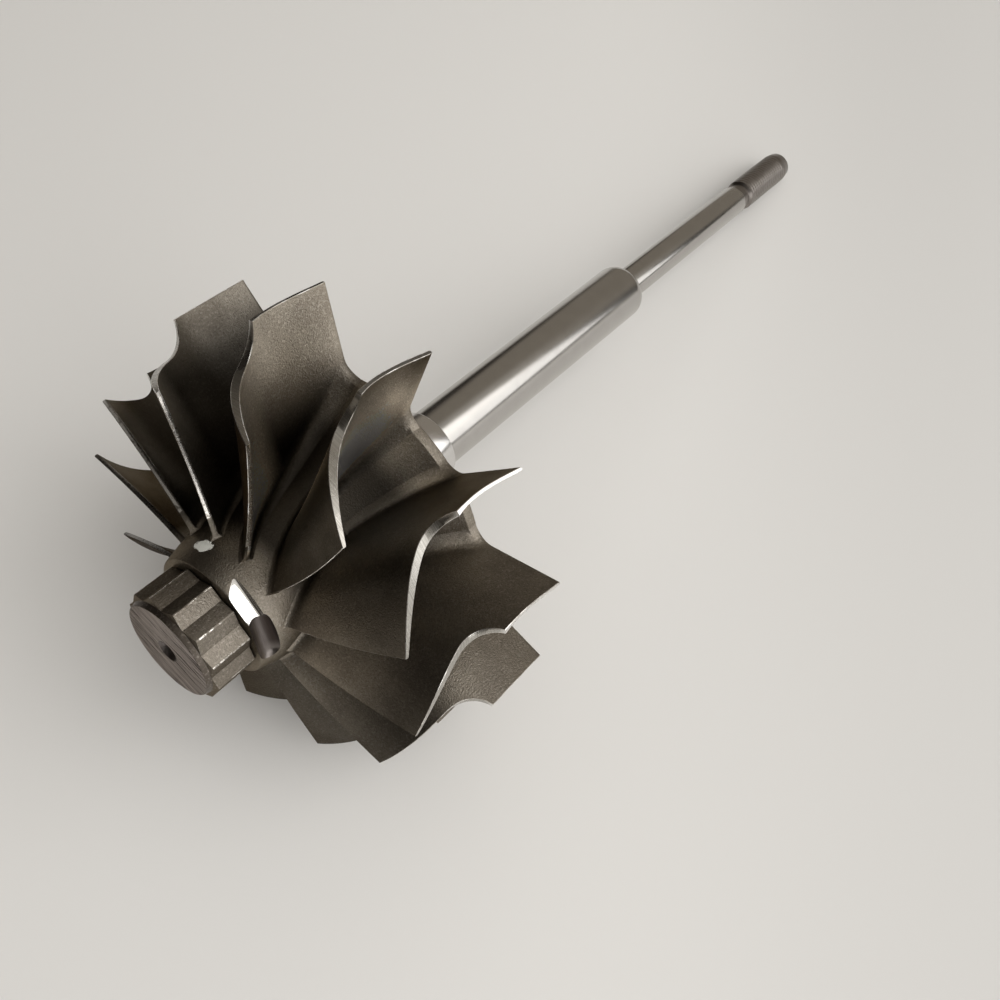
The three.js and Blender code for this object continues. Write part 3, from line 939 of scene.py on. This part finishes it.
def make_casting():
    """Collar, hub and disc turned in one, with the two balance cuts in the collar."""
    gas_face = []
    for k in range(GAS_FACE_STEPS):
        z = lerp(HUB_START_Z, DISC_FRONT_Z, k / GAS_FACE_STEPS)
        gas_face.append((hub_radius(z), z, 0))
    casting = turned("wheel_casting", [
        (0, DRIVE_LENGTH, 0),
        (DRIVE_NECK_RADIUS, DRIVE_LENGTH, 0),
        (DRIVE_NECK_RADIUS, COLLAR_FRONT_Z, 0.2),
        (COLLAR_FRONT_RADIUS, COLLAR_FRONT_Z, 0.35),
        (COLLAR_BACK_RADIUS, COLLAR_BACK_Z, 0),
        *gas_face,
        (DISC_RADIUS, DISC_FRONT_Z, 0.5),
        (DISC_RADIUS, DISC_BACK_Z, 0.3),
        (DISC_RADIUS - 1.2, DISC_BACK_Z + 0.5, 0),
        (BOSS_RADIUS + 2.2, BOSS_BACK_Z - 2.4, 1.2),
        (BOSS_RADIUS, BOSS_BACK_Z - 1, 0.3),
        (BOSS_RADIUS - 0.5, BOSS_BACK_Z, 0.2),
        (0, BOSS_BACK_Z, 0),
    ], steps=192)
    give_finish(casting, [CAST])
    cut(casting, flat_cutter())
    cut(casting, groove_cutter())
    smooth(casting, 32)
    lay_down(casting, "nose_collar", "wheel_hub", slot="cast_alloy")


def flat_cutter():
    """A block whose near side mills the flat, with a rounded edge that leaves a curved wall."""
    deselect_all()
    size = 24
    middle = (FLAT_DISTANCE + size / 2, 0, FLAT_BACK_Z - size / 2)
    bpy.ops.mesh.primitive_cube_add(size=size, location=middle)
    cutter = started("flat_cutter")
    bpy.ops.object.transform_apply(location=True)
    edit(cutter, "EDGE")
    low_x = FLAT_DISTANCE + 1
    high_z = FLAT_BACK_Z - 1
    pick_edges(cutter, lambda a, b: max(a.x, b.x) < low_x and min(a.z, b.z) > high_z)
    bpy.ops.mesh.bevel(offset=FLAT_WALL_ROUND, segments=6, profile=0.5)
    bpy.ops.object.mode_set(mode="OBJECT")
    give_finish(cutter, [MILLED])
    smooth(cutter)
    set_down(cutter, (0, 0, 0), (0, 0, FLAT_DIRECTION))
    return cutter


def groove_cutter():
    """A round-nosed cutter, turned about its own axis and laid along the collar's rim."""
    end = GROOVE_LENGTH / 2 + GROOVE_RADIUS
    cutter = turned("groove_cutter", [
        (0, -end, 0),
        (GROOVE_RADIUS, -end, GROOVE_RADIUS),
        (GROOVE_RADIUS, end, GROOVE_RADIUS),
        (0, end, 0),
    ], steps=64, round_steps=12)
    give_finish(cutter, [GROOVE])
    side_x = GROOVE_DISTANCE * math.cos(GROOVE_DIRECTION)
    side_y = GROOVE_DISTANCE * math.sin(GROOVE_DIRECTION)
    set_down(cutter, (side_x, side_y, GROOVE_MIDDLE_Z), (math.pi / 2, 0, GROOVE_DIRECTION))
    return cutter


# Nose drive

CORNER_REACH = DRIVE_ACROSS_FLATS / 2 / math.cos(math.pi / 6)
NOTCH_REACH = DRIVE_ACROSS_FLATS / 2 / math.cos(math.pi / DRIVE_CORNERS)


# Numbers of the drive's finishes
DRIVE_CAST, NOSE_FACE, WORN_EDGE, HOLE_WALL, FACE_LIP = range(5)


def on_corner(place):
    """Whether a place stands in the direction of one of the drive's corners."""
    steps = (math.atan2(place.y, place.x) - DRIVE_TURN) / STEP_ANGLE
    return abs(steps - round(steps)) < 0.1


def drive_finish(face):
    """Number of a face's finish, from its place on the drive."""
    z = face.center.z
    reach = math.hypot(face.center.x, face.center.y)
    cut_by_drill = face.material_index == 1
    if cut_by_drill:
        return HOLE_WALL
    if face.normal.z < -0.9 and z < 0.2:
        return NOSE_FACE
    if z < DRIVE_LIP_Z:
        return FACE_LIP
    if reach > CORNER_REACH - 0.12 and z > DRIVE_LIP_Z + 0.2:
        return WORN_EDGE
    return DRIVE_CAST


def make_drive():
    """A prism pulled out at its twelve corners, trimmed by a turned blank and centre-drilled."""
    deselect_all()
    bpy.ops.mesh.primitive_cylinder_add(
        vertices=2 * DRIVE_CORNERS, radius=NOTCH_REACH, depth=DRIVE_LENGTH,
        location=(0, 0, DRIVE_LENGTH / 2), rotation=(0, 0, DRIVE_TURN))
    drive = started("nose_drive")
    bpy.ops.object.transform_apply(location=True, rotation=True)
    edit(drive)
    pick_corners(drive, on_corner)
    growth = CORNER_REACH / NOTCH_REACH
    bpy.ops.transform.resize(value=(growth, growth, 1), center_override=(0, 0, 0))
    bpy.ops.mesh.select_mode(type="EDGE")
    pick_edges(drive, lambda a, b: abs(a.z - b.z) > 1 and math.hypot(a.x, a.y) > CORNER_REACH - 0.1)
    bpy.ops.mesh.bevel(offset=CORNER_ROUND, segments=3, profile=0.5)
    bpy.ops.object.mode_set(mode="OBJECT")
    blank = turned("drive_blank", [
        (0, 0, 0),
        (DRIVE_FACE_RADIUS, 0, 0.15),
        (DRIVE_LIP_RADIUS, DRIVE_LIP_Z, 0),
        (CORNER_REACH, DRIVE_LIP_Z + DRIVE_BEVEL, 0),
        (CORNER_REACH + 1, DRIVE_LIP_Z + 1, 0),
        (CORNER_REACH + 1, DRIVE_LENGTH + 1, 0),
        (0, DRIVE_LENGTH + 1, 0),
    ], steps=128)
    hole = turned("centre_drill", [
        (0, -1, 0),
        (CENTRE_HOLE_RADIUS + 0.6, -1, 0),
        (CENTRE_HOLE_RADIUS, 0.25, 0),
        (CENTRE_HOLE_RADIUS - CENTRE_DRILL_STEP, 1.4, 0),
        (CENTRE_HOLE_RADIUS - CENTRE_DRILL_STEP, CENTRE_HOLE_DEPTH - 0.7, 0),
        (0, CENTRE_HOLE_DEPTH, 0),
    ], steps=64)
    give_finish(drive, [CAST])
    give_finish(blank, [CAST])
    give_finish(hole, [GROOVE])
    cut(drive, blank, "INTERSECT")
    cut(drive, hole)
    numbers = [drive_finish(face) for face in drive.data.polygons]
    give_finish(drive, [CAST, FACE, WORN, GROOVE, LIP])
    for face, number in zip(drive.data.polygons, numbers):
        face.material_index = number
    smooth(drive, 25)
    lay_down(drive, "drive_boss", slot="cast_alloy")


# Shaft

def shoulder_outline():
    """The journal's rounded shoulder, from its outside to its face."""
    points = []
    steps = 8
    for k in range(steps + 1):
        turn = SHOULDER_ARC * k / steps
        share = (1 - math.cos(turn)) / (1 - math.cos(SHOULDER_ARC))
        drop = (JOURNAL_RADIUS - SHOULDER_FACE_RADIUS) * share
        run = SHOULDER_ROUND * math.sin(turn) / math.sin(SHOULDER_ARC)
        points.append((JOURNAL_RADIUS - drop, SHOULDER_Z - SHOULDER_ROUND + run, 0))
    return points


def thread_outline():
    """Crests and shallow roots of the rolled thread."""
    points = []
    z = RELIEF_BACK_Z + 0.6
    while z + THREAD_PITCH < SHAFT_END_Z - THREAD_LEAD:
        root_z = z + THREAD_PITCH * THREAD_ROOT_SHARE
        points.append((THREAD_RADIUS, z, THREAD_ROUND))
        points.append((THREAD_RADIUS, z + THREAD_PITCH * THREAD_CREST_SHARE, THREAD_ROUND))
        points.append((THREAD_RADIUS - THREAD_DEPTH, root_z, THREAD_ROUND))
        z += THREAD_PITCH
    return points


def make_stretch(name, outline, finish, node, steps=144):
    """One stretch of the shaft, turned, finished and laid down."""
    piece = turned(name, outline, steps)
    give_finish(piece, [finish])
    smooth(piece, 40)
    lay_down(piece, node, slot="thread_steel" if finish is THREAD else "ground_steel")


def make_shaft():
    """The weld and the shaft's stretches, from the wheel to the threaded end."""
    bead_radius = WELD_RADIUS + WELD_BEAD_HEIGHT
    make_stretch("weld_ring", [
        (0, BOSS_BACK_Z, 0),
        (WELD_RADIUS, BOSS_BACK_Z, 0),
        (bead_radius, BOSS_BACK_Z + WELD_BEAD_SLOPE, WELD_BEAD_ROUND),
        (bead_radius, WELD_BACK_Z - WELD_BEAD_SLOPE, WELD_BEAD_ROUND),
        (WELD_RADIUS - 0.3, WELD_BACK_Z, 0),
        (0, WELD_BACK_Z, 0),
    ], STEEL, "weld_land")
    groove_end = SEAL_GROOVE_Z + SEAL_GROOVE_WIDTH
    seal_end = JOURNAL_START_Z - SEAL_BACK_ROUND
    make_stretch("seal_land", [
        (0, WELD_BACK_Z, 0),
        (SEAL_RADIUS, WELD_BACK_Z, 0.2),
        (SEAL_RADIUS, SEAL_GROOVE_Z, 0.1),
        (SEAL_GROOVE_RADIUS, SEAL_GROOVE_Z, 0.1),
        (SEAL_GROOVE_RADIUS, groove_end, 0.1),
        (SEAL_RADIUS, groove_end, 0.1),
        (SEAL_RADIUS, seal_end, SEAL_BACK_ROUND),
        (JOURNAL_RADIUS - JOURNAL_NECK_STEP, seal_end, 0),
        (JOURNAL_RADIUS - JOURNAL_NECK_STEP, JOURNAL_START_Z, 0),
        (0, JOURNAL_START_Z, 0),
    ], STEEL, "seal_collar")
    make_stretch("ground_journal", [
        (0, JOURNAL_START_Z, 0),
        (JOURNAL_RADIUS, JOURNAL_START_Z, 0.15),
        *shoulder_outline(),
        (STUB_RADIUS + STUB_CLEARANCE, SHOULDER_Z, 0.1),
        (STUB_RADIUS + STUB_CLEARANCE, SHOULDER_Z - STUB_SINK, 0),
        (0, SHOULDER_Z - STUB_SINK, 0),
    ], STEEL, "bearing_journal")
    make_stretch("ground_stub", [
        (0, SHOULDER_Z - STUB_SINK, 0),
        (STUB_RADIUS - 0.1, SHOULDER_Z - STUB_SINK, 0),
        (STUB_RADIUS, SHOULDER_Z, 0),
        (STUB_RADIUS, RELIEF_Z - 0.3, 0.2),
        (STUB_RADIUS - 0.3, RELIEF_Z, 0),
        (0, RELIEF_Z, 0),
    ], STEEL, "compressor_stub", steps=96)
    make_stretch("thread_neck", [
        (0, RELIEF_Z, 0),
        (RELIEF_RADIUS, RELIEF_Z, 0),
        (RELIEF_RADIUS, RELIEF_BACK_Z, 0),
        (0, RELIEF_BACK_Z, 0),
    ], THREAD, "thread_relief", steps=96)
    make_stretch("rolled_thread", [
        (0, RELIEF_BACK_Z, 0),
        (RELIEF_RADIUS, RELIEF_BACK_Z, 0),
        *thread_outline(),
        (THREAD_RADIUS, SHAFT_END_Z - THREAD_LEAD, 0.3),
        (THREAD_RADIUS - 0.35, SHAFT_END_Z - THREAD_LEAD / 3, 0.6),
        (THREAD_TIP_RADIUS, SHAFT_END_Z, 0.1),
        (0, SHAFT_END_Z, 0),
    ], THREAD, "threaded_end", steps=96)


# Floor, light and camera, in metres and degrees of the frame

TABLE_SIZE = 6
TABLE_PALE = (0.72, 0.71, 0.69)
# Painted shade on the table beyond its painted pool of light round SEEN_MIDDLE
TABLE_PAINTED_SHADE = (0.27, 0.25, 0.22)
SEEN_MIDDLE = (0.0, -0.28, 0)
SEEN_SIZE = (0.235, 0.54, 1)
ROOM_DARK = (0.04, 0.035, 0.03)
ROOM_BEHIND = (0.22, 0.195, 0.165)
ROOM_SIDE = (0.27, 0.24, 0.20)
ROOM_BY_WINDOW = (0.66, 0.63, 0.58)
WINDOW_SIDE = -57
LIGHT_COLOUR = (1.0, 0.99, 0.975)
CAMERA_PLACE = (-0.11623, -0.08906, 0.22123)
CAMERA_TURN = (29.291, 1.999, -51.026)
CAMERA_LENS = 38.646
CAMERA_SENSOR = 36


def make_floor():
    """A pale table with a painted pool of light: painted shade darkens it beyond the part that the
    camera sees, and a little towards the window.
    """
    deselect_all()
    bpy.ops.mesh.primitive_plane_add(size=TABLE_SIZE, location=(0, 0, 0))
    floor = started("pale_floor")
    surface = bpy.data.materials.new("pale_floor")
    surface.use_nodes = True
    nodes = Nodes(surface.node_tree)
    place = nodes.node("ShaderNodeTexCoord")["Object"]
    near_window = nodes.vector("DOT_PRODUCT", place, towards(WINDOW_SIDE, 0))
    # Painted shade: the table is up to 16 percent darker towards the window side
    pale = nodes.toned(TABLE_PALE, nodes.fade(near_window, 0.0, 0.11, 1.0, 0.84))
    # Painted pool of light round the part that the camera sees, with painted shade beyond it
    sockets = {"Vector": place, "Location": SEEN_MIDDLE, "Scale": SEEN_SIZE}
    seen = nodes.node("ShaderNodeMapping", {"vector_type": "TEXTURE"}, sockets)["Vector"]
    away = nodes.vector("DISTANCE", seen, (0, 0, 0))
    colour = nodes.blend(nodes.fade(away, 1.0, 1.8), pale, TABLE_PAINTED_SHADE)
    paint = nodes.node("ShaderNodeBsdfPrincipled", None, {"Base Color": colour, "Roughness": 0.6})
    nodes.node("ShaderNodeOutputMaterial", None, {"Surface": paint["BSDF"]})
    floor.data.materials.append(surface)


def towards(azimuth, elevation):
    """A direction in the frame: azimuth is turned from +X, elevation is up from the floor."""
    turn = math.radians(azimuth)
    rise = math.radians(elevation)
    flat = math.cos(rise)
    return Vector((math.cos(turn) * flat, math.sin(turn) * flat, math.sin(rise)))


def add_panel(name, azimuth, elevation, distance, width, height, radiance, mirrored):
    """A rectangular light facing the rotor; one that isn't mirrored doesn't show in the metal."""
    lamp = bpy.data.lights.new(name, "AREA")
    lamp.shape = "RECTANGLE"
    lamp.size = width
    lamp.size_y = height
    lamp.energy = radiance * width * height * math.pi
    lamp.color = LIGHT_COLOUR
    panel = bpy.data.objects.new(name, lamp)
    place = towards(azimuth, elevation) * distance
    panel.location = place
    panel.rotation_euler = (-place).to_track_quat("-Z", "Y").to_euler()
    panel.visible_glossy = mirrored
    bpy.context.scene.collection.objects.link(panel)


def make_room():
    """A dim brown room, lighter round the window and a little beyond each end of the rotor."""
    room = bpy.data.worlds.new("room")
    bpy.context.scene.world = room
    room.use_nodes = True
    nodes = Nodes(room.node_tree)
    direction = nodes.node("ShaderNodeTexCoord")["Generated"]
    side = nodes.vector("DOT_PRODUCT", direction, towards(azimuth=8, elevation=27))
    window = nodes.vector("DOT_PRODUCT", direction, towards(azimuth=-70, elevation=58))
    behind = nodes.vector("DOT_PRODUCT", direction, towards(azimuth=163, elevation=14))
    colour = nodes.blend(nodes.fade(behind, 0.84, 0.98), ROOM_DARK, ROOM_BEHIND)
    colour = nodes.blend(nodes.fade(side, 0.66, 0.86), colour, ROOM_SIDE)
    colour = nodes.blend(nodes.fade(window, 0.72, 0.97), colour, ROOM_BY_WINDOW)
    glow = nodes.node("ShaderNodeBackground", None, {"Color": colour})
    nodes.node("ShaderNodeOutputWorld", None, {"Surface": glow["Background"]})


def make_light():
    """Two windows that the metal mirrors, and two soft panels that it doesn't."""
    add_panel("window", azimuth=WINDOW_SIDE, elevation=32, distance=1.0,
              width=0.58, height=1.0, radiance=1.75, mirrored=True)
    add_panel("window_beside", azimuth=-99, elevation=13, distance=1.0,
              width=0.86, height=0.72, radiance=1.75, mirrored=True)
    add_panel("soft_overhead", azimuth=-88, elevation=50, distance=1.6,
              width=1.2, height=1.2, radiance=2.95, mirrored=False)
    add_panel("soft_ceiling", azimuth=0, elevation=90, distance=1.8,
              width=3.2, height=3.2, radiance=0.42, mirrored=False)
    make_room()


def make_camera():
    """A camera where the photo was taken from."""
    lens = bpy.data.cameras.new("photo_view")
    lens.lens = CAMERA_LENS
    lens.sensor_width = CAMERA_SENSOR
    camera = bpy.data.objects.new("photo_view", lens)
    camera.location = CAMERA_PLACE
    camera.rotation_euler = [math.radians(angle) for angle in CAMERA_TURN]
    bpy.context.scene.collection.objects.link(camera)
    bpy.context.scene.camera = camera


bpy.context.scene.view_settings.view_transform = "Standard"
make_camera()
make_floor()
make_light()
make_drive()
make_casting()
make_blades()
make_shaft()
